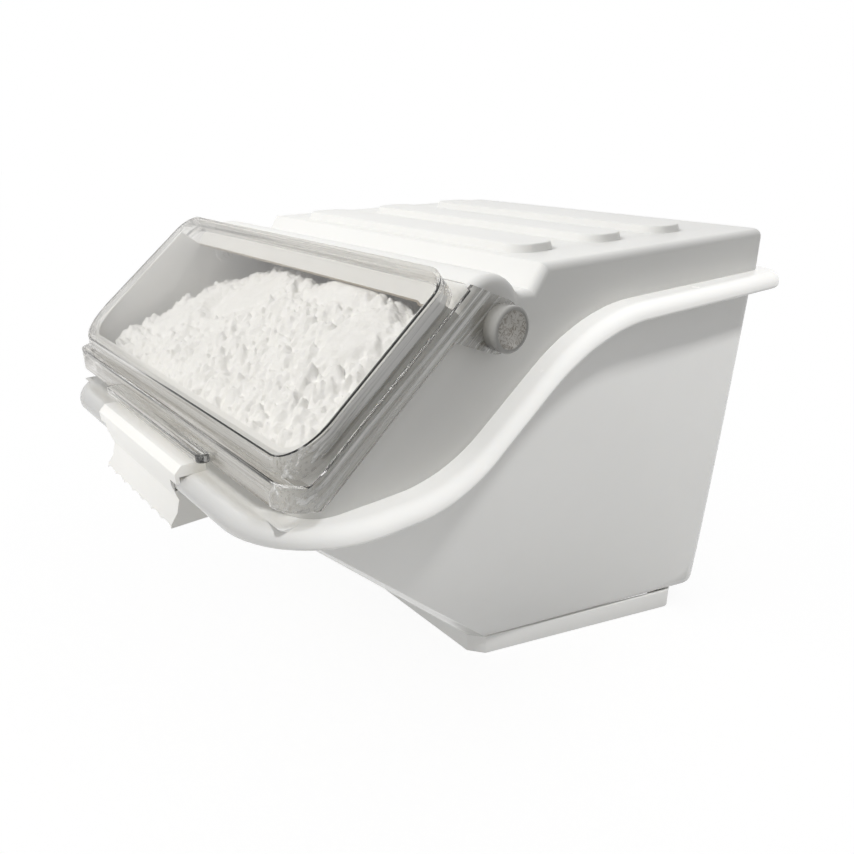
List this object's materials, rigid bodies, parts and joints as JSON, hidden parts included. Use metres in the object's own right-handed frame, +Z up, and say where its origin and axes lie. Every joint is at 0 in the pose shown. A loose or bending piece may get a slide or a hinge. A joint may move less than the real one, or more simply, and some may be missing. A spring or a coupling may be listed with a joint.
{
  "type": "shelf ingredient bin",
  "caption": "White slant-front bin for dry ingredients with a rolled rim, ribbed lift-off hood, clear swing-up door and scalloped pull handle.",
  "frame": {"origin": "on the floor under the middle of the whole bin, the centre of the bounding box's bottom", "axes": "+Z up, -Y towards the front with the clear door and the handle, X across the bin"},
  "size_m": [0.444, 0.58, 0.431],
  "materials": {
    "bin_white": "smooth moulded, soft gloss",
    "hood_white": "smooth moulded, satin",
    "door_clear": "clear polished plastic",
    "pin_clear": "clear plastic with a grained round face",
    "handle_white": "fine matt moulded"
  },
  "bodies": {
    "bin": {"bin_body": "bin_white", "pull_handle": "handle_white"},
    "hood": {"hood": "hood_white"},
    "door": {"flip_door": "door_clear", "hinge_pin_left": "pin_clear", "hinge_pin_right": "pin_clear"}
  },
  "joints": [
    {"name": "hood_lift_off", "type": "slide", "parent": "bin", "child": "hood", "axis": [0, 0, 1], "range_m": [0, 0.12]},
    {"name": "door_hinge", "type": "hinge", "parent": "hood", "child": "door", "pos_m": [0, -0.097, 0.389], "axis": [-1, 0, 0], "range_deg": [0, 98]}
  ]
}
